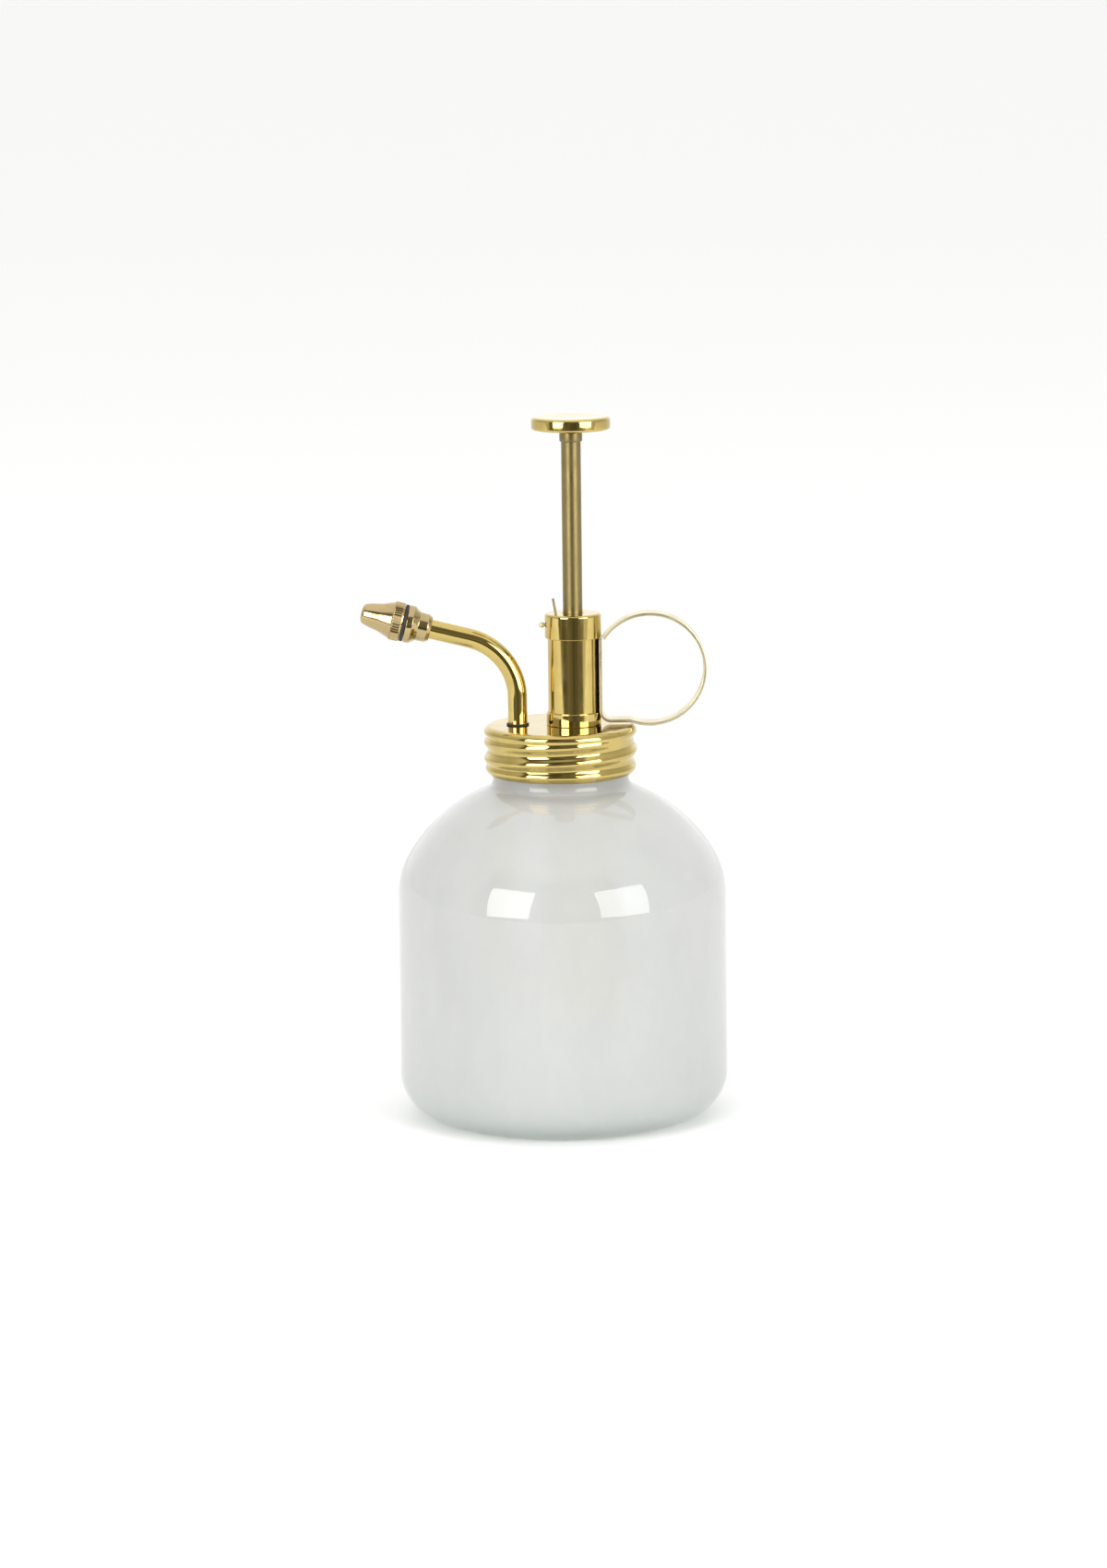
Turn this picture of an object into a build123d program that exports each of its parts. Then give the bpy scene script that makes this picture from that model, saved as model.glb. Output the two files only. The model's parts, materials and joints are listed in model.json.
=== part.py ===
from build123d import *
import os
from math import acos, cos, degrees, radians, sin

# Hand mister: a glass bottle with a brass piston pump screwed onto its neck.
# Millimetres. The origin is the centre of the bottle's base and +Z is up. +X points at
# the finger loop and -X at the nozzle.

# Fits
running_gap = 0.06  # radial, between pieces that slide or turn on each other
seat_gap = 0.03  # radial, between pieces that are fixed in each other
face_gap = 0.02  # between faces that lie against each other

# Bottle
body_r = 39.8
heel_r = 10.5
glass_wall = 2.5
glass_floor = 4.0
inner_heel_r = 8.0
shoulder_z = 53.7  # where the straight wall ends
shoulder_r = 19.6  # tight arc where the wall turns in
shoulder_turn = 31.2
dome_r = 39.3  # flatter arc from there to the neck
neck_r = 16.4
neck_bore_r = 13.8
neck_blend_r = 2.5
mouth_z = 93.4
mouth_edge_r = 0.8

# Screw thread shared by the neck and the cap
thread_pitch = 4.0
thread_r = 16.9  # radius of the helix that both profiles are centred on
thread_start_z = 85.2
cap_thread_turns = 1.9
neck_thread_turns = 0.8
neck_thread_crest_r = 17.55
neck_thread_base_w = 2.0
neck_thread_crest_w = 0.8
neck_thread_root = 0.2  # how deep the thread starts inside the neck's wall

# Screw cap, rolled from sheet
cap_sheet = 0.45
cap_top_z = 95.2
cap_skirt_z = 83.5
cap_wall_r = 17.7  # outside, in the grooves
cap_skirt_r = 17.2  # outside, at the lower edge
cap_skirt_taper = 0.9
cap_bead_r = 1.5  # rounded band round the top edge
cap_rim_bead_r = 1.3  # smaller band round the lower edge
cap_rim_bead_z = 84.9
cap_ridge_r = 1.6  # rounded thread ridge
gasket_r = 16.5
gasket_bore_r = 13.9

# Pump barrel
barrel_x = 3.3
barrel_r = 6.15
barrel_bore_r = 5.35
barrel_foot_z = 36.6
barrel_top_z = 118.6
base_ring_r = 6.6
base_ring_h = 3.2
base_ring_edge = 0.2
base_ring_flat_w = 4.1  # width cut away behind the finger loop
locknut_corner_r = 8.2
locknut_h = 3.0
collar_r = 6.8
collar_z = 116.3
collar_top_z = 122.2
collar_edge = 0.5
guide_h = 1.35

# Lock wire through the collar
wire_r = 0.3
wire_head_r = 0.7
wire_hole_gap = 0.04
wire_side_reach = 0.15  # how far it comes out of the collar's side
wire_z = 119.5
wire_side_angle = 187
wire_top_angle = 204
wire_top_offset = 4.45  # from the barrel's axis
wire_stand = 3.8
wire_lean = 10

# Plunger
rod_r = 2.35
rod_foot_z = 112.0
rod_stud_r = 1.5
rod_stud_foot_z = 106.0
knob_r = 9.45
knob_z = 166.3
knob_h = 3.1
knob_edge = 0.6
knob_boss_r = 3.7
knob_boss_h = 0.5
knob_stud_h = 1.8
ferrule_r = 2.75
ferrule_h = 2.4
ferrule_edge = 0.2
piston_h = 4.9
piston_edge = 0.3
piston_cup_h = 3.5
piston_cup_lip = 1.6
piston_cup_wall = 0.9
piston_nut_h = 2.0
piston_nut_corner_r = 3.1
spring_washer_h = 0.8
spring_washer_gap = 0.3  # radial, in the barrel and on the rod's stud

# Return spring
spring_r = 4.3
spring_wire_r = 0.4
spring_turns = 20
spring_seat_h = 0.8
spring_seat_lip = 0.2  # radial, how far its hole stands back from the chamber

# Foot valve
block_r = 6.9
block_z = 25.6
block_skirt = 2.0  # how far it reaches up round the barrel
block_edge = 0.6
chamber_r = 2.6
chamber_z = 29.2
inlet_hole_r = 1.1
inlet_ball_r = 2.0
inlet_ball_z = 30.9
stop_pin_r = 0.5
stop_pin_z = 34.5
stop_pin_length = 12.0
port_z = 33.0
port_hole_r = 1.6
port_socket_depth = 1.6
dip_r = 2.35
dip_bore_r = 1.5
dip_top_z = 28.3
dip_foot_z = 6.0
dip_cut_angle = 40

# Spout and outlet pipe
spout_x = -10.2
pipe_r = 2.35
pipe_bore_r = 1.85
pipe_joint_z = 89.5  # where the spout meets the outlet pipe, inside the union
union_r = 2.95
union_h = 7.0
spout_washer_r = 2.7
spout_washer_h = 0.4
spout_bend_z = 101.8
spout_bend_r = 15.0
outlet_bend_r = 6.0

# Outlet valve
outlet_seat_z = 41.0
outlet_seat_h = 2.0
outlet_hole_r = 0.7
outlet_ball_r = 1.2
outlet_ball_z = 44.0
outlet_spring_rise = 0.8  # from the ball's centre to the spring's foot
outlet_spring_r = 1.0
outlet_spring_wire_r = 0.15
outlet_spring_turns = 6
outlet_stop_z = 51.3
outlet_stop_h = 1.0

# Nozzle, measured back from its tip along its own axis
nozzle_tilt = 14  # degrees above level
tip_distance = 26.6  # from the end of the spout's bend to the tip
pipe_end_s = 12.6
orifice_r = 0.35
tip_wall = 1.3
tip_face_r = 1.4
tip_arc_middle = (0.66, 2.25)  # (distance back, radius)
tip_arc_end = (2.0, 2.9)
cone_start = (2.6, 3.0)
cone_middle = (4.6, 3.42)
cone_end = (7.25, 4.38)
cone_start_slope = 0.15
cone_end_slope = 0.38
core_chamber_r = 2.1
core_chamber_s = 4.5
spigot_r = 2.9
knurl_s = 7.6
knurl_r = 4.68
knurl_count = 36
knurl_depth = 0.18
nozzle_cap_s = 10.1
nozzle_cap_edge = 0.15
nozzle_washer_s = 10.15
nozzle_washer_h = 0.85
nozzle_washer_r = 4.5
nozzle_washer_edge = 0.25
body_flange_s = 11.05
body_flange_r = 4.6
body_flange_edge = 0.15
body_steps = ((12.5, 4.55), (13.4, 3.9), (14.0, 3.55), (16.2, 3.35), (16.6, 3.05), (17.1, 2.75))
spigot_edge = 0.3
spigot_tip_gap = 0.1
body_channel_r = 1.2
core_slot_w = 0.7
core_slot_depth = 0.5
core_groove_depth = 0.7
core_tip_gap = 0.05

# Finger loop, a bent strip
strip_t = 0.8
strip_w = 6.0
loop_x = 21.6
loop_z = 108.7
loop_r = 13.3
loop_kink = 20  # degrees that the strip dips where its level run meets the ring
loop_kink_r = 1.5
loop_corner_r = 2.4
loop_end_angle = 150
loop_run_top_z = 116.0

dome_x = body_r - shoulder_r - (dome_r - shoulder_r) * cos(radians(shoulder_turn))
collar_solid_z = barrel_top_z + face_gap
body_end_s = body_steps[-1][0]
outward = Vector(-cos(radians(nozzle_tilt)), 0, sin(radians(nozzle_tilt)))


def on_barrel(height):
    """Level plane centred on the barrel's axis."""
    return Plane(origin=(barrel_x, 0, height))


def on_spout(height):
    """Level plane centred on the axis of the spout's foot."""
    return Plane(origin=(spout_x, 0, height))


def ring(plane, outer_r, inner_r):
    """Flat ring on a plane."""
    with BuildSketch(plane) as face:
        Circle(outer_r)
        Circle(inner_r, mode=Mode.SUBTRACT)
    return face.sketch


def disc(plane, radius):
    """Flat disc on a plane."""
    with BuildSketch(plane) as face:
        Circle(radius)
    return face.sketch


def bottle_section(inset, floor_z, heel, neck, top_z):
    """Half section of the bottle, set in from the outside of the glass."""
    dome_end = degrees(acos((neck - dome_x) / (dome_r - inset)))
    with BuildSketch(Plane.XZ) as section:
        with BuildLine():
            floor = Line((0, floor_z), (body_r - inset - heel, floor_z))
            corner = JernArc(floor @ 1, (1, 0), heel, 90)
            wall = Line(corner @ 1, (body_r - inset, shoulder_z))
            shoulder = JernArc(wall @ 1, (0, 1), shoulder_r - inset, shoulder_turn)
            dome = JernArc(shoulder @ 1, shoulder % 1, dome_r - inset, dome_end - shoulder_turn)
            Polyline(dome @ 1, (neck, top_z), (0, top_z), (0, floor_z))
        make_face()
        fillet(section.vertices().sort_by_distance(dome @ 1)[0], neck_blend_r)
    return section.sketch


def cap_section(sheet):
    """Half section of the cap without its thread, set in by the sheet's thickness."""
    wall = cap_wall_r - sheet
    bead_z = cap_top_z - cap_bead_r
    with BuildSketch(Plane.XZ) as section:
        with BuildLine():
            Polyline(
                (0, cap_skirt_z),
                (cap_skirt_r - sheet, cap_skirt_z),
                (wall, cap_skirt_z + cap_skirt_taper),
                (wall, bead_z),
                (thread_r, bead_z),
                (thread_r, cap_top_z - sheet),
                (0, cap_top_z - sheet),
                close=True,
            )
        make_face()
        with Locations((thread_r, bead_z)):
            Circle(cap_bead_r - sheet)
        with Locations((thread_r, cap_rim_bead_z)):
            Circle(cap_rim_bead_r - sheet)
    return section.sketch


def thread_helix(start_z, turns):
    """Right-handed helix that the cap's and the neck's threads share."""
    return Helix(
        pitch=thread_pitch,
        height=thread_pitch * turns,
        radius=thread_r,
        center=(0, 0, start_z),
        mode=Mode.PRIVATE,
    )


def add_ridge(radius, mode):
    """Round thread ridge with round ends, added to the cap or cut from its inside."""
    helix = thread_helix(thread_start_z, cap_thread_turns)
    sweep(disc(Plane(origin=helix @ 0, z_dir=helix % 0), radius), path=helix, is_frenet=True, mode=mode)
    with Locations(helix @ 0, helix @ 1):
        Sphere(radius, mode=mode)


def coil(centre_x, low_z, high_z, radius, wire, turns):
    """Coil spring that stands between two heights."""
    height = high_z - low_z - 2 * wire
    helix = Helix(
        pitch=height / turns,
        height=height,
        radius=radius,
        center=(centre_x, 0, low_z + wire),
        mode=Mode.PRIVATE,
    )
    section = disc(Plane(origin=helix @ 0, z_dir=helix % 0), wire)
    return sweep(section, path=helix, is_frenet=True, mode=Mode.PRIVATE)


def round_edges(builder):
    """Circular edges of the piece being made."""
    return builder.edges().filter_by(GeomType.CIRCLE)


def save(builder, label):
    """Labels a finished piece and writes its STEP file."""
    builder.part.label = label
    export_step(builder.part, f"parts/{label}.step")


os.makedirs("parts", exist_ok=True)

# Bottle
with BuildPart() as bottle:
    revolve(bottle_section(0, 0, heel_r, neck_r, mouth_z), axis=Axis.Z)
    revolve(
        bottle_section(glass_wall, glass_floor, inner_heel_r, neck_bore_r, mouth_z),
        axis=Axis.Z,
        mode=Mode.SUBTRACT,
    )
    fillet(round_edges(bottle).group_by(Axis.Z)[-1], mouth_edge_r)
    neck_helix = thread_helix(thread_start_z + thread_pitch, neck_thread_turns)
    with BuildSketch(Plane(origin=neck_helix @ 0, x_dir=(1, 0, 0), z_dir=neck_helix % 0)):
        with BuildLine():
            root_x = neck_r - neck_thread_root - thread_r
            crest_x = neck_thread_crest_r - thread_r
            Polyline(
                (root_x, -neck_thread_base_w / 2),
                (crest_x, -neck_thread_crest_w / 2),
                (crest_x, neck_thread_crest_w / 2),
                (root_x, neck_thread_base_w / 2),
                close=True,
            )
        make_face()
    sweep(path=neck_helix, is_frenet=True)
save(bottle, "bottle")

with BuildPart() as cap_gasket:
    extrude(ring(Plane.XY.offset(mouth_z), gasket_r, gasket_bore_r), amount=cap_top_z - cap_sheet - mouth_z)
save(cap_gasket, "cap_gasket")

# Screw cap
with BuildPart() as screw_cap:
    revolve(cap_section(0), axis=Axis.Z)
    add_ridge(cap_ridge_r, Mode.ADD)
    revolve(cap_section(cap_sheet), axis=Axis.Z, mode=Mode.SUBTRACT)
    add_ridge(cap_ridge_r - cap_sheet, Mode.SUBTRACT)
    with Locations(on_barrel(cap_top_z)):
        Hole(barrel_r + seat_gap)
    with Locations(on_spout(cap_top_z)):
        Hole(pipe_r + seat_gap)
save(screw_cap, "screw_cap")

# Barrel and what holds it
with BuildPart() as barrel:
    extrude(ring(on_barrel(barrel_foot_z), barrel_r, barrel_bore_r), amount=barrel_top_z - barrel_foot_z)
save(barrel, "barrel")

strip_x = barrel_x + barrel_r + face_gap  # face of the finger loop that lies against the barrel

with BuildPart() as barrel_base_ring:
    extrude(ring(on_barrel(cap_top_z), base_ring_r, barrel_r + seat_gap), amount=base_ring_h)
    fillet(barrel_base_ring.edges().group_by(Axis.Z)[-1].sort_by(SortBy.RADIUS)[-1], base_ring_edge)
    with BuildSketch(Plane(origin=(strip_x - face_gap / 2, 0, cap_top_z))):
        Rectangle(base_ring_flat_w, 2 * base_ring_r, align=(Align.MIN, Align.CENTER))
    extrude(amount=base_ring_h, mode=Mode.SUBTRACT)
save(barrel_base_ring, "barrel_base_ring")

with BuildPart() as barrel_locknut:
    with BuildSketch(on_barrel(cap_top_z - cap_sheet - locknut_h)):
        RegularPolygon(locknut_corner_r, 6)
        Circle(barrel_r + seat_gap, mode=Mode.SUBTRACT)
    extrude(amount=locknut_h)
save(barrel_locknut, "barrel_locknut")


def around_barrel(offset, angle, height):
    """Point at a distance and a compass angle from the barrel's axis."""
    return Vector(
        barrel_x + offset * cos(radians(angle)), offset * sin(radians(angle)), height
    )


wire_side = around_barrel(collar_r + wire_side_reach, wire_side_angle, wire_z)
wire_bend = around_barrel(wire_top_offset, wire_top_angle, wire_z)
wire_exit = around_barrel(wire_top_offset, wire_top_angle, collar_top_z)
wire_tip = wire_exit + Vector(-sin(radians(wire_lean)), 0, cos(radians(wire_lean))) * wire_stand
with BuildLine() as wire_line:
    FilletPolyline(wire_side, wire_bend, wire_exit, wire_tip, radius=wire_r * 2)
wire_start = Plane(origin=wire_side, z_dir=wire_line.line % 0)

with BuildPart() as barrel_cap:
    extrude(disc(on_barrel(collar_z), collar_r), amount=collar_top_z - collar_z)
    chamfer(barrel_cap.edges().group_by(Axis.Z)[-1], collar_edge)
    extrude(
        disc(on_barrel(collar_z), barrel_r + seat_gap),
        amount=collar_solid_z - collar_z,
        mode=Mode.SUBTRACT,
    )
    with Locations(on_barrel(collar_top_z)):
        Hole(rod_r + running_gap)
    sweep(disc(wire_start, wire_r + wire_hole_gap), path=wire_line.line, mode=Mode.SUBTRACT)
save(barrel_cap, "barrel_cap")

with BuildPart() as rod_guide_washer:
    extrude(
        ring(on_barrel(barrel_top_z - guide_h), barrel_bore_r - seat_gap, rod_r + running_gap),
        amount=guide_h,
    )
save(rod_guide_washer, "rod_guide_washer")

with BuildPart() as lock_wire:
    sweep(disc(wire_start, wire_r), path=wire_line.line)
    with Locations(around_barrel(collar_r + wire_head_r + face_gap, wire_side_angle, wire_z)):
        Sphere(wire_head_r)
save(lock_wire, "lock_wire")

# Plunger
with BuildPart() as plunger_rod:
    extrude(disc(on_barrel(rod_foot_z), rod_r), amount=knob_z - rod_foot_z)
    extrude(
        disc(on_barrel(rod_stud_foot_z), rod_stud_r),
        amount=knob_z + knob_stud_h - rod_stud_foot_z,
    )
save(plunger_rod, "plunger_rod")

with BuildPart() as rod_ferrule:
    extrude(
        ring(on_barrel(knob_z - knob_boss_h - ferrule_h), ferrule_r, rod_r + seat_gap),
        amount=ferrule_h,
    )
    chamfer(rod_ferrule.edges().group_by(Axis.Z)[0].sort_by(SortBy.RADIUS)[-1], ferrule_edge)
save(rod_ferrule, "rod_ferrule")

with BuildPart() as thumb_knob:
    extrude(disc(on_barrel(knob_z), knob_r), amount=knob_h)
    fillet(thumb_knob.edges(), knob_edge)
    extrude(disc(on_barrel(knob_z), knob_boss_r), amount=-knob_boss_h)
    extrude(
        disc(on_barrel(knob_z), rod_stud_r + seat_gap),
        amount=knob_stud_h + seat_gap,
        mode=Mode.SUBTRACT,
    )
    extrude(
        disc(on_barrel(knob_z), rod_r + seat_gap), amount=-knob_boss_h, mode=Mode.SUBTRACT
    )
save(thumb_knob, "thumb_knob")

piston_slide_r = barrel_bore_r - running_gap
piston_cup_z = rod_foot_z - piston_cup_h
piston_nut_z = piston_cup_z - piston_nut_h
spring_washer_z = piston_nut_z - spring_washer_h

with BuildPart() as piston_head:
    extrude(ring(on_barrel(rod_foot_z), piston_slide_r, rod_r + seat_gap), amount=piston_h)
    chamfer(round_edges(piston_head).sort_by(SortBy.RADIUS)[-2:], piston_edge)
save(piston_head, "piston_head")

with BuildPart() as piston_cup:
    extrude(ring(on_barrel(piston_cup_z), piston_slide_r, rod_stud_r + seat_gap), amount=piston_cup_h)
    extrude(
        ring(on_barrel(piston_cup_z), piston_slide_r - piston_cup_wall, piston_nut_corner_r),
        amount=piston_cup_lip,
        mode=Mode.SUBTRACT,
    )
save(piston_cup, "piston_cup")

with BuildPart() as piston_nut:
    with BuildSketch(on_barrel(piston_nut_z)):
        RegularPolygon(piston_nut_corner_r, 6)
        Circle(rod_stud_r + seat_gap, mode=Mode.SUBTRACT)
    extrude(amount=piston_nut_h)
save(piston_nut, "piston_nut")

# Return spring and its two washers
with BuildPart() as spring_washer:
    extrude(
        ring(
            on_barrel(spring_washer_z),
            barrel_bore_r - spring_washer_gap,
            rod_stud_r + spring_washer_gap,
        ),
        amount=spring_washer_h,
    )
save(spring_washer, "spring_washer")

with BuildPart() as spring_seat:
    extrude(
        ring(on_barrel(barrel_foot_z), barrel_bore_r - seat_gap, chamber_r + spring_seat_lip),
        amount=spring_seat_h,
    )
save(spring_seat, "spring_seat")

with BuildPart() as return_spring:
    add(
        coil(
            barrel_x,
            barrel_foot_z + spring_seat_h,
            spring_washer_z,
            spring_r,
            spring_wire_r,
            spring_turns,
        )
    )
save(return_spring, "return_spring")

# Foot valve
block_face_x = barrel_x - block_r
with BuildPart() as valve_block:
    block_top_z = barrel_foot_z + block_skirt
    extrude(disc(on_barrel(block_z), block_r), amount=block_top_z - block_z)
    chamfer(valve_block.edges().group_by(Axis.Z)[0], block_edge)
    extrude(
        disc(on_barrel(barrel_foot_z), barrel_r + seat_gap),
        amount=block_skirt,
        mode=Mode.SUBTRACT,
    )
    extrude(
        disc(on_barrel(chamber_z), chamber_r),
        amount=barrel_foot_z - chamber_z,
        mode=Mode.SUBTRACT,
    )
    extrude(disc(on_barrel(block_z), inlet_hole_r), amount=chamber_z - block_z, mode=Mode.SUBTRACT)
    extrude(
        disc(on_barrel(block_z), dip_r + seat_gap), amount=dip_top_z - block_z, mode=Mode.SUBTRACT
    )
    port_plane = Plane(origin=(block_face_x, 0, port_z), z_dir=(1, 0, 0))
    extrude(disc(port_plane, port_hole_r), amount=block_r, mode=Mode.SUBTRACT)
    extrude(disc(port_plane, pipe_r + seat_gap), amount=port_socket_depth, mode=Mode.SUBTRACT)
    pin_plane = Plane(origin=(barrel_x, 0, stop_pin_z), z_dir=(0, 1, 0))
    extrude(disc(pin_plane, stop_pin_r + seat_gap), amount=block_r, both=True, mode=Mode.SUBTRACT)
save(valve_block, "valve_block")

with BuildPart() as ball_stop_pin:
    extrude(disc(pin_plane, stop_pin_r), amount=stop_pin_length / 2, both=True)
save(ball_stop_pin, "ball_stop_pin")

with BuildPart() as inlet_ball:
    with Locations((barrel_x, 0, inlet_ball_z)):
        Sphere(inlet_ball_r)
save(inlet_ball, "inlet_ball")

with BuildPart() as dip_tube:
    extrude(ring(on_barrel(dip_foot_z), dip_r, dip_bore_r), amount=dip_top_z - dip_foot_z)
    cut_point = Vector(barrel_x + dip_r, 0, dip_foot_z)
    cut_plane = Plane(cut_point, z_dir=(-sin(radians(dip_cut_angle)), 0, cos(radians(dip_cut_angle))))
    split(bisect_by=cut_plane, keep=Keep.TOP)
save(dip_tube, "dip_tube")

# Spout, outlet pipe and the union that joins them
with BuildLine(Plane.XZ) as spout_line:
    spout_foot = Line((spout_x, pipe_joint_z), (spout_x, spout_bend_z))
    spout_bend = JernArc(spout_foot @ 1, (0, 1), spout_bend_r, 90 - nozzle_tilt)
    Line(spout_bend @ 1, (spout_bend @ 1) + outward * (tip_distance - pipe_end_s))
tip = (spout_bend @ 1) + outward * tip_distance

with BuildPart() as spout_tube:
    sweep(ring(on_spout(pipe_joint_z), pipe_r, pipe_bore_r), path=spout_line.line)
save(spout_tube, "spout_tube")

with BuildLine(Plane.XZ) as outlet_line:
    outlet_drop = Line((spout_x, pipe_joint_z), (spout_x, port_z + outlet_bend_r))
    outlet_bend = JernArc(outlet_drop @ 1, (0, -1), outlet_bend_r, 90)
    Line(outlet_bend @ 1, (block_face_x + port_socket_depth, port_z))

with BuildPart() as outlet_tube:
    sweep(
        ring(Plane(origin=outlet_line.line @ 0, z_dir=(0, 0, -1)), pipe_r, pipe_bore_r),
        path=outlet_line.line,
    )
save(outlet_tube, "outlet_tube")

with BuildPart() as tube_union:
    extrude(
        ring(on_spout(pipe_joint_z - union_h / 2), union_r, pipe_r + seat_gap), amount=union_h
    )
save(tube_union, "tube_union")

with BuildPart() as spout_washer:
    extrude(ring(on_spout(cap_top_z), spout_washer_r, pipe_r + seat_gap), amount=spout_washer_h)
save(spout_washer, "spout_washer")

# Outlet valve, inside the outlet pipe
with BuildPart() as outlet_valve_seat:
    extrude(
        ring(on_spout(outlet_seat_z), pipe_bore_r - seat_gap, outlet_hole_r), amount=outlet_seat_h
    )
save(outlet_valve_seat, "outlet_valve_seat")

with BuildPart() as outlet_ball:
    with Locations((spout_x, 0, outlet_ball_z)):
        Sphere(outlet_ball_r)
save(outlet_ball, "outlet_ball")

with BuildPart() as outlet_spring:
    add(
        coil(
            spout_x,
            outlet_ball_z + outlet_spring_rise,
            outlet_stop_z,
            outlet_spring_r,
            outlet_spring_wire_r,
            outlet_spring_turns,
        )
    )
save(outlet_spring, "outlet_spring")

with BuildPart() as outlet_spring_stop:
    extrude(
        ring(on_spout(outlet_stop_z), pipe_bore_r - seat_gap, outlet_hole_r), amount=outlet_stop_h
    )
save(outlet_spring_stop, "outlet_spring_stop")

# Nozzle: sections are drawn with x back along its axis from the tip and y as the radius
nozzle_section = Plane(origin=tip, x_dir=-outward, z_dir=(0, -1, 0))
nozzle_axis = Axis(tip, -outward)


def nozzle_plane(distance):
    """Plane across the nozzle's axis, a distance back from its tip."""
    return Plane(origin=tip - outward * distance, x_dir=(0, 1, 0), z_dir=-outward)


with BuildPart() as nozzle_cap:
    with BuildSketch(nozzle_section):
        with BuildLine():
            Line((0, 0), (0, tip_face_r))
            nose = ThreePointArc((0, tip_face_r), tip_arc_middle, tip_arc_end)
            slopes = ((1, cone_start_slope), (1, cone_end_slope))
            cone = Spline(cone_start, cone_middle, cone_end, tangents=slopes)
            Line(nose @ 1, cone @ 0)
            Polyline(
                cone @ 1,
                (knurl_s, knurl_r),
                (nozzle_cap_s - nozzle_cap_edge, knurl_r),
                (nozzle_cap_s, knurl_r - nozzle_cap_edge),
                (nozzle_cap_s, 0),
                (0, 0),
            )
        make_face()
    revolve(axis=nozzle_axis)
    with BuildSketch(nozzle_plane(knurl_s)):
        with PolarLocations(knurl_r, knurl_count):
            RegularPolygon(knurl_depth, 4)
    extrude(amount=nozzle_cap_s - knurl_s, mode=Mode.SUBTRACT)
    extrude(disc(nozzle_plane(0), orifice_r), amount=tip_wall, mode=Mode.SUBTRACT)
    extrude(
        disc(nozzle_plane(tip_wall), core_chamber_r),
        amount=core_chamber_s - tip_wall,
        mode=Mode.SUBTRACT,
    )
    extrude(
        disc(nozzle_plane(core_chamber_s), spigot_r + running_gap),
        amount=nozzle_cap_s - core_chamber_s,
        mode=Mode.SUBTRACT,
    )
save(nozzle_cap, "nozzle_cap")

with BuildPart() as nozzle_washer:
    extrude(
        ring(nozzle_plane(nozzle_washer_s), nozzle_washer_r, spigot_r + running_gap),
        amount=nozzle_washer_h,
    )
    fillet(round_edges(nozzle_washer).sort_by(SortBy.RADIUS)[-2:], nozzle_washer_edge)
save(nozzle_washer, "nozzle_washer")

with BuildPart() as nozzle_body:
    with BuildSketch(nozzle_section):
        with BuildLine():
            spigot_s = core_chamber_s + spigot_tip_gap
            Polyline(
                (spigot_s, 0),
                (spigot_s, spigot_r - spigot_edge),
                (spigot_s + spigot_edge, spigot_r),
                (body_flange_s, spigot_r),
                (body_flange_s, body_flange_r - body_flange_edge),
                (body_flange_s + body_flange_edge, body_flange_r),
                *body_steps,
                (body_end_s, 0),
                close=True,
            )
        make_face()
    revolve(axis=nozzle_axis)
    extrude(
        disc(nozzle_plane(pipe_end_s), pipe_r + seat_gap),
        amount=body_end_s - pipe_end_s,
        mode=Mode.SUBTRACT,
    )
    extrude(
        disc(nozzle_plane(core_chamber_s), body_channel_r),
        amount=pipe_end_s - core_chamber_s,
        mode=Mode.SUBTRACT,
    )
save(nozzle_body, "nozzle_body")

with BuildPart() as swirl_core:
    core_s = tip_wall + core_tip_gap
    extrude(
        disc(nozzle_plane(core_s), core_chamber_r - running_gap), amount=core_chamber_s - core_s
    )
    with BuildSketch(nozzle_plane(core_s)):
        Rectangle(core_slot_w, 2 * core_chamber_r)
    extrude(amount=core_slot_depth, mode=Mode.SUBTRACT)
    with BuildSketch(nozzle_plane(core_s)):
        with PolarLocations(core_chamber_r, 2, start_angle=90):
            Rectangle(2 * core_groove_depth, core_slot_w)
    extrude(amount=core_chamber_s - core_s, mode=Mode.SUBTRACT)
save(swirl_core, "swirl_core")

# Finger loop: up the barrel, along above the cap, and round
run_x = strip_x + strip_t / 2
run_z = loop_z - loop_r * cos(radians(loop_kink)) + loop_kink_r * (1 - cos(radians(loop_kink)))
kink_x = loop_x - loop_r * sin(radians(loop_kink)) - loop_kink_r * sin(radians(loop_kink))
with BuildLine(Plane.XZ) as loop_line:
    loop_corner = JernArc((run_x, run_z + loop_corner_r), (0, -1), loop_corner_r, 90)
    level_run = Line(loop_corner @ 1, (kink_x, run_z))
    kink = JernArc(level_run @ 1, (1, 0), loop_kink_r, -loop_kink)
    JernArc(kink @ 1, kink % 1, loop_r, 90 + loop_kink + loop_end_angle)

with BuildPart() as finger_loop:
    with BuildSketch(Plane(origin=loop_line.line @ 0, x_dir=(1, 0, 0), z_dir=(0, 0, -1))):
        Rectangle(strip_t, strip_w)
    sweep(path=loop_line.line)
    with BuildSketch(Plane(origin=(run_x, 0, run_z + loop_corner_r))):
        Rectangle(strip_t, strip_w)
    extrude(amount=loop_run_top_z - run_z - loop_corner_r)
save(finger_loop, "finger_loop")
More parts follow.
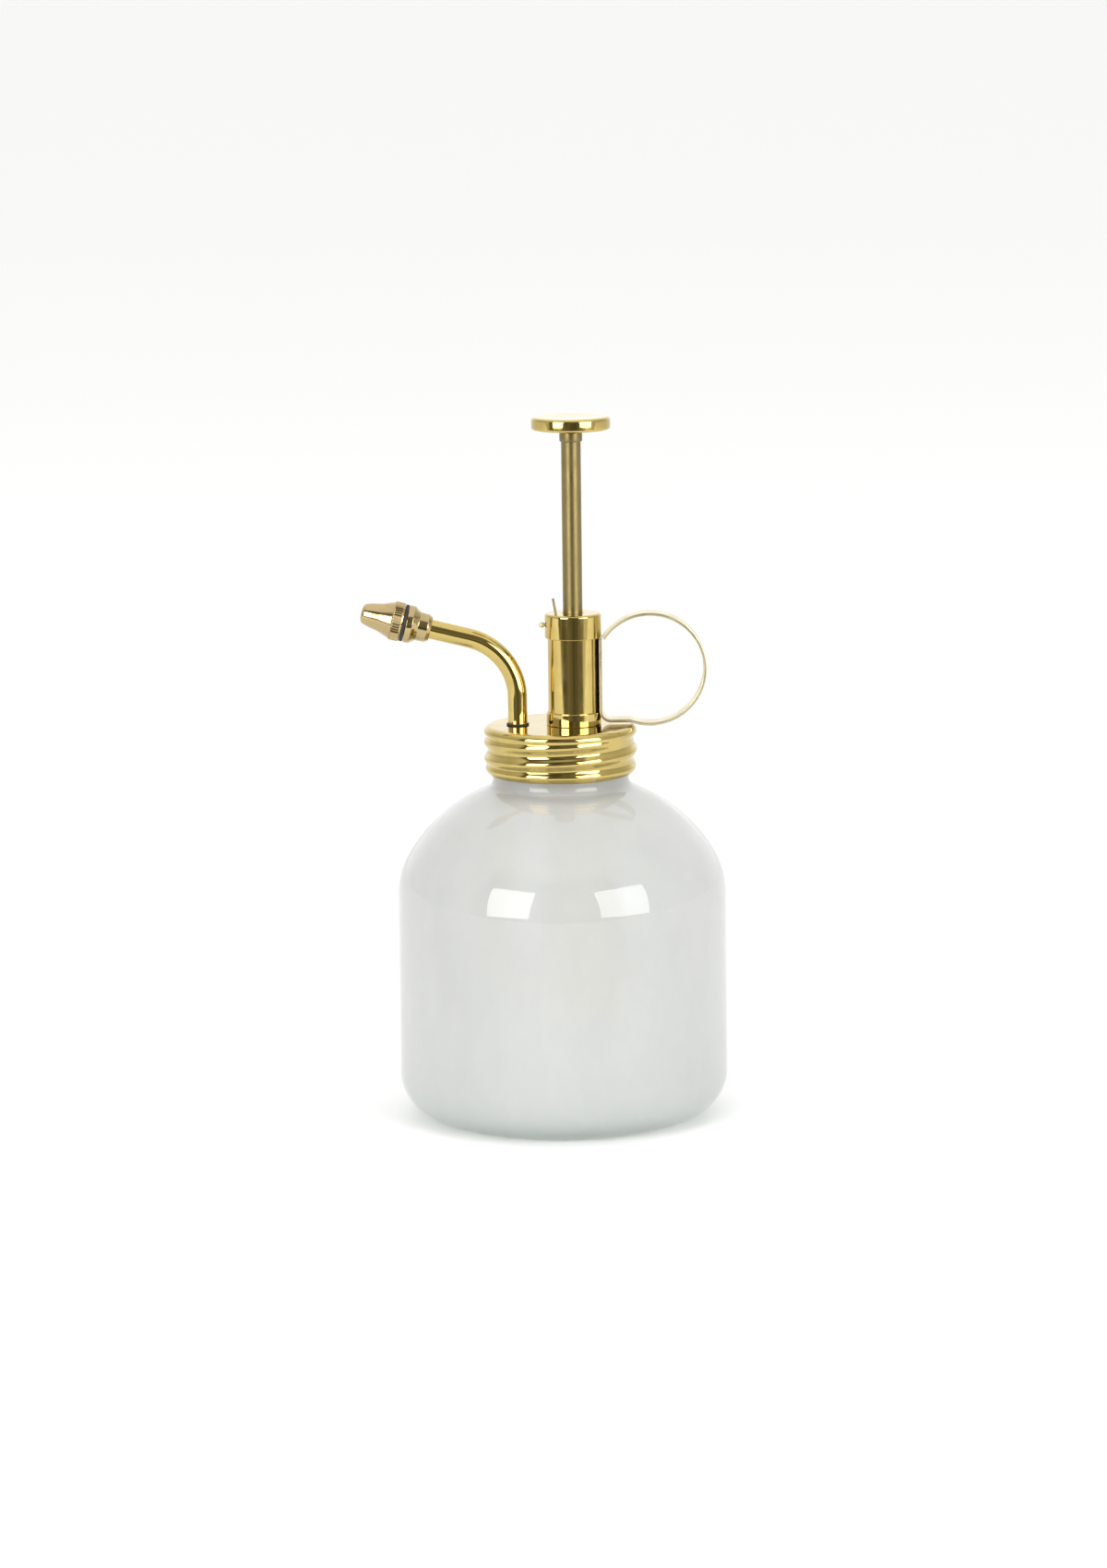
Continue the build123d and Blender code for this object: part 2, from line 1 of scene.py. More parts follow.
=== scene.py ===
import json
from functools import cache
from math import acos, atan2, cos, pi, radians, sin, tan
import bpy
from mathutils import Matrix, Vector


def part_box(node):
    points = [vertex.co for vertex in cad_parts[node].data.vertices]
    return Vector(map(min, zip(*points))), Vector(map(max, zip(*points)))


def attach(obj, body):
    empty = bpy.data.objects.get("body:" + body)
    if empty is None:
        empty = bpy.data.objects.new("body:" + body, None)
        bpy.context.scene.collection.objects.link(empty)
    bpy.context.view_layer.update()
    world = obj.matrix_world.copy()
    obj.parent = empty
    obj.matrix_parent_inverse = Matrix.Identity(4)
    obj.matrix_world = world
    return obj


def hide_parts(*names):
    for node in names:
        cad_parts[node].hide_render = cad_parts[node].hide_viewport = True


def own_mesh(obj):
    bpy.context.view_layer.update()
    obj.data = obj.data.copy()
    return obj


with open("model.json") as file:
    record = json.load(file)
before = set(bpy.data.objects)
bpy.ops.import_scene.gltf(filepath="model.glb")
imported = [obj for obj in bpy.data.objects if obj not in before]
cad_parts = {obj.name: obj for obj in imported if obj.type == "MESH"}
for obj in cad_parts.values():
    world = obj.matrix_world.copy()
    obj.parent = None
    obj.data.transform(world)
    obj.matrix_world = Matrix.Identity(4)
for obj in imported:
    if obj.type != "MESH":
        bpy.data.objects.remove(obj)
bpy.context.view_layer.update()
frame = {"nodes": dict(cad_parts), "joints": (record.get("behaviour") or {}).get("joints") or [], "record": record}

from types import SimpleNamespace

import bmesh
import bpy
from mathutils import Matrix, Vector

MM = 0.001
TURN = 2 * pi
SIDEWAYS = Vector((0, 1, 0))
MERGE_M = 2e-7  # points closer than this, in metres, are one
ON_AXIS = 1e-6  # an outline's point at a smaller radius lies on its axis

# Steps that round shapes are drawn with
ROUND_STEPS = 6
LATHE_SEGMENTS = 128
BOTTLE_SEGMENTS = 160
CAP_SEGMENTS = 288
HOLE_SEGMENTS = 96
SPOUT_SEGMENTS = 56
BALL_SEGMENTS = 32
WIRE_SEGMENTS = 16
COIL_SEGMENTS = 10
COIL_STEPS = 24
KNURL_TEETH = 44
TOOTH_STEPS = 4

# Angles in degrees above which an edge is drawn sharp
CREASE = 34
KNURL_CREASE = 40
BOTTLE_CREASE = 50
CAP_CREASE = 60

# Shape sizes that the frame's boxes don't give, in millimetres
CLOSE_FIT = 0.02
LOOSE_FIT = 0.03
SHARP_EDGE = 0.02
BORE_EDGE = 0.1

SHEET = 0.45  # the cap's brass sheet
CAP_GROOVE_R = 17.7
CAP_SKIRT_R = 17.2
CAP_EDGE_R = 1.5
CAP_EDGE_RIDGE = 0.7
CAP_EDGE_SPREAD = 1.7
CAP_TUCK = 0.9
CAP_RIDGE = 0.76
CAP_RIM_RIDGE = 0.45
CAP_RIM_SPREAD = 1.5
CAP_RIM_Z = 84.95
CAP_HOLE_GAP = 0.04
THREAD_PITCH = 4.0
THREAD_START_Z = 85.2
THREAD_TURNS = 1.9
THREAD_LAPS = range(-1, 4)
THREAD_FADE = 0.12  # turns over which a thread rises and dies away

SHOULDER_Z = 53.7
SHOULDER_R = 19.6
SHOULDER_TURN = 31.2
DOME_R = 39.3
HEEL_R = 10.5
INNER_HEEL_R = 8.0
GLASS_WALL = 2.5
GLASS_FLOOR = 4.0
NECK_R = 16.4
NECK_BORE_R = 13.8
NECK_BLEND_R = 2.5
NECK_THREAD_WALL = (NECK_R - 0.01, NECK_R + 0.2)
NECK_THREAD_LOW = 86
NECK_THREAD_START = 1.0
NECK_THREAD_TURNS = 0.8
NECK_THREAD_SUNK = 0.25  # share of the thread's height that the neck's wall hides
NECK_RIDGE = 1.1
LIP_RISE = 0.8
PUNT_R = 24.0
PUNT_DEPTH = 0.9

BARREL_BORE_R = 5.35
ROD_HOLE_R = 2.42
ROD_HOLE_BEVEL = 0.35
ROD_R = 2.35
ROD_CORE_R = 1.5
ROD_CORE_TOP = 112.0
KNOB_STEM = 0.5
KNOB_SOCKET_R = 1.53
KNOB_SOCKET_DEPTH = 1.83

SPOUT_R = 2.35
SPOUT_BORE_R = 1.85
SPOUT_LOW_Z = 89.5
SPOUT_BEND_R = 15.0
SPOUT_BEND_Z = 101.8
# The nozzle's lengths are measured back from its tip.
SPOUT_END = 12.6
STEM_FRONT = 4.6
CONE_SHELF = 4.5
CONE_BACK = 10.1
RING_FRONT, RING_BACK = 10.15, 11.0
STEM_SHOULDER = 11.05
KNURL_LOW, KNURL_HIGH = 7.7, 9.75
KNURL_R = 4.68
KNURL_DEPTH = 0.17
CONE_RIM_R = 4.5
CONE_BORE_R = 2.96
STEM_R = 2.9
STEM_BORE_R = 1.2
STEM_SOCKET_R = 2.38
CHAMBER_R = 2.1
CHAMBER_FRONT = 1.3
MIST_HOLE_R = 0.35

STRIP_THICK = 0.8
STRIP_EDGE = 0.2
STRIP_TOP_Z = 116.0
LOOP_X = 21.6
LOOP_Z = 108.7
LOOP_R = 13.3
LOOP_END = 146.0  # degrees from +X towards +Z
KINK = 20  # degrees
KINK_R = 1.5
STRIP_CORNER_R = 2.4

WIRE_R = 0.3
WIRE_Z = 119.5
WIRE_TAIL = 3.8
WIRE_TAIL_LEAN = 10  # degrees
WIRE_SIDE = 187  # degrees round the barrel from +X
WIRE_BEND = 204
WIRE_BEND_R = 4.45
WIRE_HEAD_R = 0.7

# The dark room's edges, as soft steps: azimuths in radians from -Y towards +X, and a height
ROOM_LEFT = (-1.25, -1.05)
ROOM_RIGHT = (0.86, 0.68)
ROOM_TOP = (0.86, 0.7)
# How far sideways a direction points where the surroundings start and stop getting duller
SIDES = (0.4, 0.95)
SIDE_COLOUR = (0.55, 0.55, 0.535, 1)
ROOM_PATCHES = 3.2
ROOM_DARK = (0.38, (0.085, 0.08, 0.06, 1))  # noise value and colour
ROOM_LIGHT = (0.68, (0.21, 0.20, 0.155, 1))
WORLD_STRENGTH = 1.3

# Soft windows: azimuth, lowest and highest elevation and width in degrees, distance in metres, watts
WINDOWS = {
    "window_left": (-38, -3, 33, 31, 1.6, 20),
    "window_right": (44, -3, 33, 36, 1.6, 19),
}
WINDOW_AIM_Z = 80.0

FLOOR_SIZE_M = 60.0
FLOOR_FRONT_M = -0.42
FLOOR_GREY = 0.86
FLOOR_GLOW = 0.09

CAMERA_AT = (-1.8, -1200, 289)
CAMERA_AIM = (-1.8, 0, 80.6)
CAMERA_ROLL = -0.69  # degrees
CAMERA_LENS = 116.0
CAMERA_CLIP_M = (0.05, 100)


# ---------------------------------------------------------------- frame


@cache
def upright(node):
    """Axis position, radius and height range in millimetres, of a piece round about a vertical axis."""
    low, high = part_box(node)
    return SimpleNamespace(
        x=(low[0] + high[0]) / 2 / MM,
        r=(high[1] - low[1]) / 2 / MM,
        low=low[2] / MM,
        high=high[2] / MM,
    )


def joint(name):
    return next(j for j in frame["joints"] if j["name"] == name)


class Turned:
    """An axis that round pieces are turned about, with z along it in millimetres.

    Angles start at +X about an upright axis, and at +Y about others.
    """

    def __init__(self, origin, axis):
        self.origin = Vector(origin)
        self.axis = Vector(axis).normalized()
        start = Vector((1, 0, 0)) if abs(self.axis.z) > 0.9 else SIDEWAYS
        self.u = (start - self.axis * start.dot(self.axis)).normalized()
        self.v = self.axis.cross(self.u)

    def point(self, r, angle, z):
        flat = self.u * (r * cos(angle)) + self.v * (r * sin(angle))
        return self.origin + (flat + self.axis * z) * MM


def vertical(x):
    return Turned((x * MM, 0, 0), (0, 0, 1))


# ---------------------------------------------------------------- meshes


def plain_mesh(name, verts, faces):
    mesh = bpy.data.meshes.new(name)
    mesh.from_pydata([tuple(v) for v in verts], [], faces)
    return mesh


def clean(mesh):
    """Joins points that coincide and turns the faces outward."""
    bm = bmesh.new()
    bm.from_mesh(mesh)
    bmesh.ops.remove_doubles(bm, verts=bm.verts, dist=MERGE_M)
    bmesh.ops.recalc_face_normals(bm, faces=bm.faces)
    bm.to_mesh(mesh)
    bm.free()


def smooth(mesh, crease):
    """Shades a mesh smoothly up to a crease angle in degrees."""
    mesh.polygons.foreach_set("use_smooth", [True] * len(mesh.polygons))
    mesh.set_sharp_from_angle(angle=radians(crease))


def new_object(name, node, verts, faces, materials, body, slot, indices=None, crease=CREASE):
    """Makes a piece from its mesh, hangs it on the body it rides on, and hides the CAD piece it stands for."""
    mesh = plain_mesh(name, verts, faces)
    for material in materials:
        mesh.materials.append(material)
    if indices:
        mesh.polygons.foreach_set("material_index", indices)
    mesh.validate()
    clean(mesh)
    smooth(mesh, crease)
    obj = bpy.data.objects.new(name, mesh)
    bpy.context.scene.collection.objects.link(obj)
    weigh_normals(obj)
    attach(obj, body)
    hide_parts(node)
    return obj


def weigh_normals(obj):
    """Keeps flat faces flat in reflections, beside their rounded edges."""
    change = obj.modifiers.new("normals", "WEIGHTED_NORMAL")
    change.keep_sharp = True


def rounded(corners, closed=True):
    """Outline in (r, z) from corners of (r, z, corner radius), with each corner turned by an arc."""
    points = []
    count = len(corners)
    for i, (r, z, radius) in enumerate(corners):
        here = Vector((r, z))
        if radius <= 0 or (not closed and i in (0, count - 1)):
            points.append(here)
            continue
        before = (Vector(corners[i - 1][:2]) - here).normalized()
        after = (Vector(corners[(i + 1) % count][:2]) - here).normalized()
        half = acos(max(-1.0, min(1.0, before.dot(after)))) / 2
        reach = radius / tan(half)
        centre = here + (before + after).normalized() * (radius / sin(half))
        start = here + before * reach
        sweep = pi - 2 * half
        turn = 1 if before.x * after.y - before.y * after.x < 0 else -1
        arm = start - centre
        for a in steps(0, turn * sweep, ROUND_STEPS):
            turned_arm = (arm.x * cos(a) - arm.y * sin(a), arm.x * sin(a) + arm.y * cos(a))
            points.append(centre + Vector(turned_arm))
    return points


def lathe(outline, axis, closed, segments=LATHE_SEGMENTS, radius_at=None):
    """Verts and faces of an outline of (r, z) turned about an axis.

    An outline that isn't closed starts and ends on the axis.
    """
    verts, faces, rows = [], [], []
    for r, z in outline:
        if r < ON_AXIS:
            rows.append([len(verts)] * segments)
            verts.append(axis.point(0, 0, z))
            continue
        rows.append(list(range(len(verts), len(verts) + segments)))
        for k in range(segments):
            angle = TURN * k / segments
            here = radius_at(r, angle, z) if radius_at else r
            verts.append(axis.point(here, angle, z))
    pairs = list(zip(rows, rows[1:] + ([rows[0]] if closed else [])))
    for low, high in pairs:
        for k in range(segments):
            n = (k + 1) % segments
            quad = []
            for v in (low[k], low[n], high[n], high[k]):
                if v not in quad:
                    quad.append(v)
            if len(quad) > 2:
                faces.append(quad)
    return verts, faces


def turned(name, node, corners, axis, material, body, slot, closed=True):
    """A turned piece with rounded corners, from corners of (r, z, corner radius)."""
    verts, faces = lathe(rounded(corners, closed), axis, closed)
    return new_object(name, node, verts, faces, [material], body, slot)


def ring_corners(outer, inner, low, high, edge, bore_edge=BORE_EDGE):
    """Corners of a ring with an outer edge radius."""
    return [(outer, low, edge), (outer, high, edge), (inner, high, bore_edge), (inner, low, bore_edge)]


def sections(centres, outline, side):
    """Rows of points: an outline of (across, along the side vector), square to the path at each centre."""
    rows = []
    for i, centre in enumerate(centres):
        ahead = (centres[min(i + 1, len(centres) - 1)] - centres[max(i - 1, 0)]).normalized()
        across = side.cross(ahead).normalized()
        along = ahead.cross(across)
        rows.append([centre + across * (a * MM) + along * (b * MM) for a, b in outline])
    return rows


def skin(rows, closed):
    """Verts and faces of rows of points, each joined to the next, and the last to the first if closed."""
    faces = []
    count = len(rows[0])
    for i in range(len(rows) if closed else len(rows) - 1):
        low, high = i * count, (i + 1) % len(rows) * count
        for k in range(count):
            n = (k + 1) % count
            faces.append((low + k, low + n, high + n, high + k))
    return [point for row in rows for point in row], faces


def swept(name, node, centres, outline, side, material, slot):
    """A piece of constant section along a path, on the head, closed at both ends."""
    verts, faces = skin(sections(centres, outline, side), False)
    count = len(outline)
    faces.append(tuple(range(count - 1, -1, -1)))
    faces.append(tuple(range(len(verts) - count, len(verts))))
    return new_object(name, node, verts, faces, [material], "head", slot)


def circle_outline(radius, segments):
    return [(radius * cos(a), radius * sin(a)) for a in steps(0, TURN, segments)[:-1]]


def steps(start, end, count):
    """Evenly spaced values, both ends included."""
    return [start + (end - start) * k / count for k in range(count + 1)]


def cut(piece, cutters, crease):
    """Takes closed shapes out of a piece, for good."""
    piece.modifiers.clear()
    for verts, faces in cutters:
        mesh = plain_mesh("cutter", verts, faces)
        clean(mesh)
        tool = bpy.data.objects.new("cutter", mesh)
        bpy.context.scene.collection.objects.link(tool)
        change = piece.modifiers.new("cut", "BOOLEAN")
        change.operation, change.object, change.solver = "DIFFERENCE", tool, "EXACT"
        depsgraph = bpy.context.evaluated_depsgraph_get()
        made = bpy.data.meshes.new_from_object(piece.evaluated_get(depsgraph))
        piece.modifiers.clear()
        old, piece.data = piece.data, made
        bpy.data.meshes.remove(old)
        bpy.data.objects.remove(tool)
        smooth(piece.data, crease)
    weigh_normals(piece)


# ---------------------------------------------------------------- materials


class Nodes:
    """Short ways to add and join shader nodes."""

    def __init__(self, name):
        self.material = bpy.data.materials.new(name)
        self.material.use_nodes = True
        self.tree = self.material.node_tree
        self.shader = self.tree.nodes["Principled BSDF"]
        self.place = self.tree.nodes.new("ShaderNodeTexCoord").outputs["Object"]

    def add(self, kind, inputs=(), **settings):
        node = self.tree.nodes.new("ShaderNode" + kind)
        for key, value in settings.items():
            setattr(node, key, value)
        for key, value in dict(inputs).items():
            self.feed(node.inputs[key], value)
        return node

    def feed(self, socket, value):
        if isinstance(value, bpy.types.NodeSocket):
            self.tree.links.new(value, socket)
        else:
            socket.default_value = value

    def noise(self, scale, detail=4.0, roughness=0.5, stretch=(1, 1, 1)):
        place = self.add("Mapping", {"Vector": self.place, "Scale": stretch}).outputs[0]
        settings = {"Vector": place, "Scale": scale, "Detail": detail, "Roughness": roughness}
        return self.add("TexNoise", settings).outputs["Fac"]

    def ramp(self, value, *stops):
        """Maps a value through (position, colour or grey) stops."""
        node = self.add("ValToRGB", {"Fac": value})
        elements = node.color_ramp.elements
        while len(elements) < len(stops):
            elements.new(0.5)
        for element, (position, colour) in zip(elements, stops):
            element.position = position
            element.color = (*colour, 1) if isinstance(colour, tuple) else (colour, colour, colour, 1)
        return node.outputs["Color"]

    def mix(self, factor, a, b):
        node = self.add("Mix", data_type="RGBA")
        for key, value in ((0, factor), (6, a), (7, b)):
            if isinstance(value, tuple):
                value = (*value, 1)
            self.feed(node.inputs[key], value)
        return node.outputs[2]

    def bump(self, height, strength, distance):
        return self.add("Bump", {"Height": height, "Strength": strength, "Distance": distance}).outputs[0]

    def set(self, **values):
        for key, value in values.items():
            self.feed(self.shader.inputs[key.replace("_", " ")], value)
        return self.material


def metal(name, colour, stain, gloss, dull, scratch=0.05, grain=(1, 1, 6), patches=140.0):
    """Polished or aged metal: smudges vary its roughness, stain darkens specks, and fine lines mark it."""
    n = Nodes(name)
    smudge = n.noise(patches, 6, 0.6)
    wear = n.ramp(smudge, (0.42, 0.0), (0.68, 1.0))
    lines = n.noise(2600.0, 2, 0.4, grain)
    specks = n.noise(900.0, 3, 0.5)
    tone = n.mix(n.ramp(specks, (0.55, 0.0), (0.75, 0.35)), colour, stain)
    n.set(
        Base_Color=n.mix(wear, tone, tuple(c * 0.86 for c in colour)),
        Metallic=1.0,
        Roughness=n.ramp(smudge, (0.35, gloss), (0.7, dull)),
        Normal=n.bump(lines, scratch, 0.00002),
    )
    return n.material


def rubber(name, colour, rough):
    n = Nodes(name)
    grit = n.noise(1500.0, 5, 0.6)
    n.set(
        Base_Color=n.mix(grit, colour, tuple(c * 1.8 for c in colour)),
        Roughness=n.ramp(grit, (0.3, rough - 0.1), (0.7, rough + 0.1)),
        Normal=n.bump(grit, 0.3, 0.00004),
    )
    return n.material


def plastic(name, colour, rough):
    n = Nodes(name)
    cloud = n.noise(160.0, 3, 0.5)
    n.set(
        Base_Color=n.mix(cloud, colour, tuple(c * 0.92 for c in colour)),
        Roughness=n.ramp(cloud, (0.3, rough - 0.06), (0.7, rough + 0.08)),
        Normal=n.bump(n.noise(1200.0, 2), 0.1, 0.00002),
        IOR=1.5,
    )
    return n.material


def clear_glass(name):
    """The bottle's glass, a little green and not quite even."""
    n = Nodes(name)
    height = n.add("SeparateXYZ", {"Vector": n.place}).outputs["Z"]
    foot = n.add("MapRange", {"Value": height, "From Min": 0.013, "From Max": 0.001}).outputs[0]
    n.set(
        Base_Color=n.mix(foot, (0.962, 0.972, 0.965), (0.84, 0.93, 0.885)),
        Transmission_Weight=1.0,
        IOR=1.5,
        Roughness=n.ramp(n.noise(120.0, 4, 0.6), (0.3, 0.0), (0.8, 0.035)),
        Normal=n.bump(n.noise(42.0, 2), 0.12, 0.0004),
    )
    return n.material


def white_coat(name):
    """White lacquer inside the glass. It mostly hides what is behind it and lets some light through."""
    n = Nodes(name)
    cloud = n.noise(38.0, 5, 0.62, (1, 1, 0.45))
    white = n.mix(n.ramp(cloud, (0.35, 0.0), (0.7, 1.0)), (0.965, 0.97, 0.97), (0.935, 0.945, 0.942))
    front = n.add("BsdfDiffuse", {"Color": white}).outputs[0]
    through = n.add("BsdfTranslucent", {"Color": white}).outputs[0]
    coat = n.add("MixShader", {0: 0.36, 1: front, 2: through}).outputs[0]
    thin = n.ramp(cloud, (0.3, 0.05), (0.75, 0.12))
    bare = n.add("BsdfTransparent").outputs[0]
    out = n.add("MixShader", {0: thin, 1: coat, 2: bare}).outputs[0]
    n.tree.links.new(out, n.tree.nodes["Material Output"].inputs["Surface"])
    n.tree.nodes.remove(n.shader)
    return n.material


def floor_material():
    n = Nodes("floor")
    glow = {"Emission_Color": (1, 1, 1, 1), "Emission_Strength": FLOOR_GLOW}
    grey = (FLOOR_GREY, FLOOR_GREY, FLOOR_GREY, 1)
    return n.set(Base_Color=grey, Roughness=0.9, Specular_IOR_Level=0.05, **glow)


BRASS = metal("brass_polished", (0.56, 0.43, 0.145), (0.42, 0.30, 0.085), 0.045, 0.12, 0.006)
AGED = metal("brass_aged", (0.235, 0.185, 0.078), (0.17, 0.13, 0.05), 0.3, 0.4, 0.006, (1, 1, 0.05), 150.0)
NOZZLE = metal("brass_nozzle", (0.48, 0.37, 0.185), (0.33, 0.24, 0.11), 0.08, 0.18, 0.006)
PALE = metal("brass_pale", (0.70, 0.63, 0.43), (0.52, 0.44, 0.27), 0.26, 0.4, 0.02, (1, 0.05, 1), 200.0)
HIDDEN = metal("brass_inside", (0.70, 0.54, 0.25), (0.42, 0.31, 0.14), 0.22, 0.4)
STEEL = metal("steel", (0.62, 0.62, 0.60), (0.45, 0.44, 0.42), 0.16, 0.3)
WIRE = metal("wire_dull", (0.27, 0.21, 0.12), (0.16, 0.12, 0.08), 0.3, 0.45)
BLACK = rubber("rubber_black", (0.014, 0.012, 0.010), 0.7)
NYLON = plastic("nylon_white", (0.80, 0.79, 0.74), 0.45)
DIP = plastic("tube_plastic", (0.78, 0.77, 0.70), 0.3)
GLASS = clear_glass("glass_clear")
COAT = white_coat("coat_white")


# ---------------------------------------------------------------- bottle


def ridge(distance, half):
    """Smooth bump, 1 at no distance and 0 at half or more."""
    return cos(pi * distance / (2 * half)) ** 2 if abs(distance) < half else 0.0


def thread_height(angle, z, start, turns):
    """How high a right-handed helical ridge stands at a point, from 0 to 1."""
    best = 0.0
    for lap in THREAD_LAPS:
        along = angle / TURN + lap
        rise = THREAD_START_Z + THREAD_PITCH * along
        fade = min((along - start) / THREAD_FADE + 0.5, (start + turns - along) / THREAD_FADE + 0.5)
        fade = max(0.0, min(1.0, fade))
        best = max(best, ridge(z - rise, THREAD_PITCH / 2) * fade * fade * (3 - 2 * fade))
    return best


def bottle_outline(inset, floor, heel, neck, top):
    """Outline of the bottle's glass from the axis to the mouth, set in from its outside."""
    wall = upright("bottle").r - inset
    turn = radians(SHOULDER_TURN)
    dome_x = upright("bottle").r - SHOULDER_R - (DOME_R - SHOULDER_R) * cos(turn)
    dome_z = SHOULDER_Z - (DOME_R - SHOULDER_R) * sin(turn)
    points = [
        (wall - heel + heel * sin(a), floor + heel - heel * cos(a)) for a in steps(0, pi / 2, 22)
    ]
    points += [(wall, z) for z in steps(floor + heel, SHOULDER_Z, 12)[1:]]
    tight = SHOULDER_R - inset
    points += [
        (wall - tight + tight * cos(a), SHOULDER_Z + tight * sin(a)) for a in steps(0, turn, 16)[1:]
    ]
    # The dome's arc meets the neck through a hollow arc that touches both.
    dome = DOME_R - inset
    hollow_x = neck + NECK_BLEND_R
    lean = acos((hollow_x - dome_x) / (dome + NECK_BLEND_R))
    hollow_z = dome_z + (dome + NECK_BLEND_R) * sin(lean)
    points += [(dome_x + dome * cos(a), dome_z + dome * sin(a)) for a in steps(turn, lean, 34)[1:]]
    points += [
        (hollow_x + NECK_BLEND_R * cos(a), hollow_z + NECK_BLEND_R * sin(a))
        for a in steps(pi + lean, pi, 10)[1:]
    ]
    points += [(neck, z) for z in steps(hollow_z, top, 40)[1:]]
    return points


def make_bottle():
    """The glass, clear outside, with its white coat on the inner faces."""
    mouth_z = upright("bottle").high - LIP_RISE
    lip = (NECK_R - NECK_BORE_R) / 2
    punt = [(PUNT_R * a / pi, PUNT_DEPTH * (1 + cos(a)) / 2) for a in steps(0, pi, 12)]
    outer = bottle_outline(0, 0, HEEL_R, NECK_R, mouth_z)
    mouth = [(NECK_R - lip + lip * cos(a), mouth_z + LIP_RISE * sin(a)) for a in steps(0, pi, 14)[1:-1]]
    inner = bottle_outline(GLASS_WALL, GLASS_FLOOR, INNER_HEEL_R, NECK_BORE_R, mouth_z)
    inner = [(r, GLASS_FLOOR) for r in steps(0, inner[0][0], 8)[:-1]] + inner
    first_inner = len(punt) + len(outer) + len(mouth)
    low_r, high_r = NECK_THREAD_WALL

    def radius_at(r, angle, z):
        if z <= NECK_THREAD_LOW or not low_r < r < high_r:
            return r
        height = thread_height(angle, z, NECK_THREAD_START, NECK_THREAD_TURNS)
        return r + NECK_RIDGE * max(0.0, height - NECK_THREAD_SUNK) / (1 - NECK_THREAD_SUNK)

    outline = punt + outer + mouth + inner[::-1]
    verts, faces = lathe(outline, vertical(0), False, BOTTLE_SEGMENTS, radius_at)
    indices = [int(number // BOTTLE_SEGMENTS >= first_inner) for number in range(len(faces))]
    shape = (verts, faces, [GLASS, COAT])
    return new_object("bottle_glass", "bottle", *shape, "bottle", "glass", indices, BOTTLE_CREASE)


# ---------------------------------------------------------------- cap


def cap_radius(r, angle, z):
    """The cap's wall at an angle and height: two level bands, with the thread winding between them."""
    top = upright("screw_cap").high
    bands = (
        CAP_RIDGE * thread_height(angle, z, 0.0, THREAD_TURNS),
        CAP_EDGE_RIDGE * ridge(z - (top - CAP_EDGE_R), CAP_EDGE_SPREAD),
        CAP_RIM_RIDGE * ridge(z - CAP_RIM_Z, CAP_RIM_SPREAD),
    )
    return r + sum(b**4 for b in bands) ** 0.25


def make_cap():
    """The cap, rolled from sheet, with holes for the barrel and the spout."""
    size = upright("screw_cap")
    edge_z = size.high - CAP_EDGE_R
    edge_x = CAP_GROOVE_R + CAP_EDGE_RIDGE - CAP_EDGE_R
    tuck_z = size.low + CAP_TUCK
    tuck_x = CAP_GROOVE_R - CAP_SKIRT_R

    def edge(radius, start, end, count):
        return [(edge_x + radius * sin(a), edge_z + radius * cos(a)) for a in steps(start, end, count)]

    top = [(r, size.high) for r in steps(0, edge_x, 10)] + edge(CAP_EDGE_R, 0, pi / 2, 12)[1:-1]
    wall = [(CAP_GROOVE_R, z) for z in steps(edge_z, tuck_z, 72)]
    wall += [
        (CAP_GROOVE_R - tuck_x * (1 - cos(a)), tuck_z - CAP_TUCK * sin(a))
        for a in steps(0, pi / 2, 8)[1:]
    ]
    inside = [(r - SHEET, z) for r, z in wall[:0:-1]]
    under = edge(CAP_EDGE_R - SHEET, pi / 2, 0, 6)[1:]
    under += [(r, size.high - SHEET) for r in steps(edge_x, 0, 6)[1:]]
    outline = top + wall + inside + under
    ridged = set(wall + inside)

    def radius_at(r, angle, z):
        return cap_radius(r, angle, z) if (r, z) in ridged else r

    verts, faces = lathe(outline, vertical(0), False, CAP_SEGMENTS, radius_at)
    cap = new_object("cap_brass", "screw_cap", verts, faces, [BRASS], "head", "brass", crease=CAP_CREASE)
    low, high = size.high - 1.2, size.high + 1
    holes = []
    for x, tube_r in ((upright("barrel").x, upright("barrel").r), (spout_x(), SPOUT_R)):
        r = tube_r + CAP_HOLE_GAP
        plug = [(0, low), (r, low), (r, high), (0, high)]
        holes.append(lathe(plug, vertical(x), False, HOLE_SEGMENTS))
    cut(cap, holes, CAP_CREASE)


# ---------------------------------------------------------------- pump


def spout_x():
    """Where the spout stands: its washer gives its axis."""
    return upright("spout_washer").x


def make_barrel():
    tube, ring, cap = upright("barrel"), upright("barrel_base_ring"), upright("barrel_cap")
    looks = (vertical(tube.x), BRASS, "head", "brass")
    wall = ring_corners(tube.r, BARREL_BORE_R, tube.low, tube.high, 0.15)
    turned("barrel_tube", "barrel", wall, *looks)
    foot = ring_corners(ring.r, tube.r + CLOSE_FIT, ring.low, ring.high, 0.22, SHARP_EDGE)
    turned("barrel_foot_ring", "barrel_base_ring", foot, *looks)
    roof_z, inner_r = tube.high + 0.05, tube.r + LOOSE_FIT
    collar = [
        (cap.r, cap.low, 0.18),
        (cap.r, cap.high, 0.62),
        (ROD_HOLE_R + ROD_HOLE_BEVEL, cap.high, 0.1),
        (ROD_HOLE_R, cap.high - ROD_HOLE_BEVEL, 0.1),
        (ROD_HOLE_R, roof_z, 0),
        (inner_r, roof_z, 0),
        (inner_r, cap.low, 0.05),
    ]
    turned("barrel_collar", "barrel_cap", collar, *looks)


